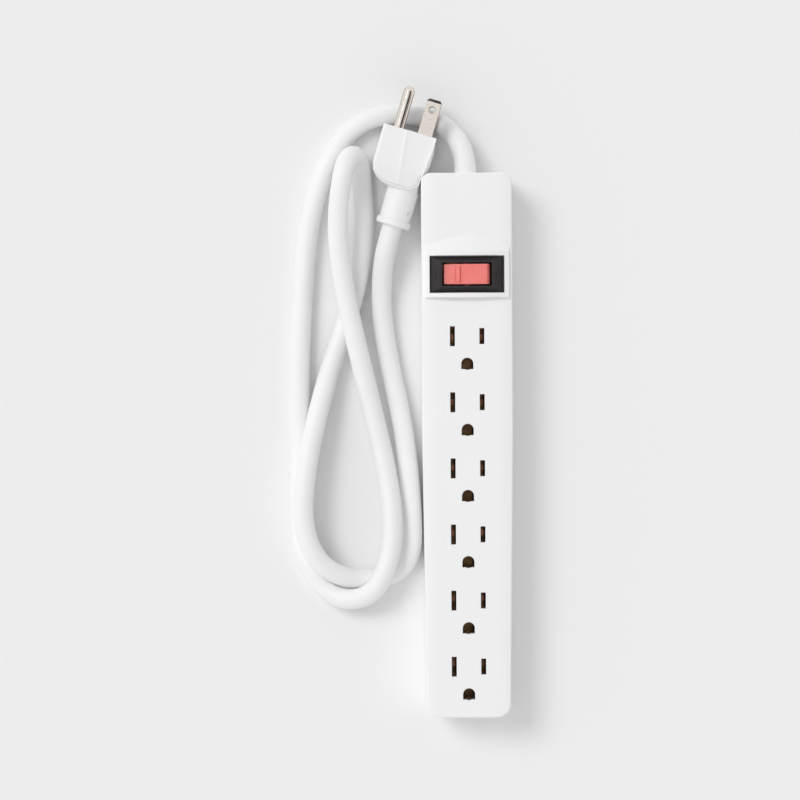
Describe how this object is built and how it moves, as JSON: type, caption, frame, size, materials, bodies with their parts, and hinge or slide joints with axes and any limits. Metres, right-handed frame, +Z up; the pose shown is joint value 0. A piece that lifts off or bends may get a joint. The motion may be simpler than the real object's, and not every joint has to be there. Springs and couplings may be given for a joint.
{
  "type": "power strip",
  "caption": "Slim white power strip with a row of grounded outlets, a hooded lighted rocker switch, and a looped mains lead that ends in a grounded plug.",
  "frame": {"origin": "middle of the housing's underside", "axes": "+Z up through the outlet face, +Y along the strip towards the lead, +X to the right with the lead at the top"},
  "size_m": [0.0973, 0.2736, 0.0326],
  "materials": {
    "outer_plastic": "satin moulded",
    "cord_jacket": "soft satin",
    "plug_plastic": "soft satin",
    "switch_black": "satin",
    "rocker_red": "translucent gloss",
    "pin_nickel": "bright plated",
    "brass": "rolled",
    "copper": "rolled",
    "silver_contact": "pressed",
    "screw_steel": "zinc plated",
    "spring_steel": "drawn",
    "phenolic": "moulded",
    "lamp_glass": "clear",
    "resistor_coat": "dipped",
    "wire_black": "insulation",
    "wire_white": "insulation",
    "wire_green": "insulation",
    "bushing_rubber": "moulded"
  },
  "bodies": {
    "housing": {"top_cover": "outer_plastic", "bottom_cover": "outer_plastic", "cover_screws": "screw_steel", "live_busbar": "copper", "neutral_busbar": "copper", "ground_busbar": "copper", "contact_rivets": "copper", "live_clip_1": "brass", "neutral_clip_1": "brass", "ground_clip_1": "brass", "live_clip_2": "brass", "neutral_clip_2": "brass", "ground_clip_2": "brass", "live_clip_3": "brass", "neutral_clip_3": "brass", "ground_clip_3": "brass", "live_clip_4": "brass", "neutral_clip_4": "brass", "ground_clip_4": "brass", "live_clip_5": "brass", "neutral_clip_5": "brass", "ground_clip_5": "brass", "live_clip_6": "brass", "neutral_clip_6": "brass", "ground_clip_6": "brass", "switch_housing": "switch_black", "fixed_contact": "silver_contact", "bimetal_strip": "brass", "line_terminal": "brass", "load_terminal": "brass", "lamp_terminal": "brass", "switch_base": "phenolic", "neon_lamp": "lamp_glass", "lamp_resistor": "resistor_coat", "spade_terminals": "brass", "line_wire": "wire_black", "neutral_wire": "wire_white", "ground_wire": "wire_green", "load_wire": "wire_black", "lamp_wire": "wire_white", "power_cord": "cord_jacket", "cord_jacket_end": "cord_jacket", "cord_clamp": "phenolic", "clamp_screws": "screw_steel", "cord_bushing": "bushing_rubber", "plug_body": "plug_plastic", "plug_insert": "phenolic", "plug_live_blade": "pin_nickel", "plug_neutral_blade": "pin_nickel", "plug_ground_pin": "pin_nickel"},
    "rocker": {"rocker": "rocker_red", "plunger_spring": "spring_steel"},
    "plunger": {"plunger": "phenolic"},
    "contact_lever": {"contact_lever": "copper", "moving_contact": "silver_contact"}
  },
  "joints": [
    {"name": "rocker_tilt", "type": "hinge", "parent": "housing", "child": "rocker", "pos_m": [0, 0.0736, 0.027], "axis": [0, 1, 0], "range_deg": [0, 18]},
    {"name": "contact_lever_tilt", "type": "hinge", "parent": "housing", "child": "contact_lever", "pos_m": [0, 0.0736, 0.0158], "axis": [0, 1, 0], "range_deg": [-14, 0]},
    {"name": "plunger_slide", "type": "slide", "parent": "rocker", "child": "plunger", "axis": [-0.1564, 0, 0.9877], "range_m": [0, 0.0008], "stiffness_N_per_m": 400, "springref_m": -0.002, "deforming": ["plunger_spring"]}
  ],
  "couplings": [
    {"joint": "contact_lever_tilt", "follows": "rocker_tilt", "ratio": -0.7777}
  ]
}
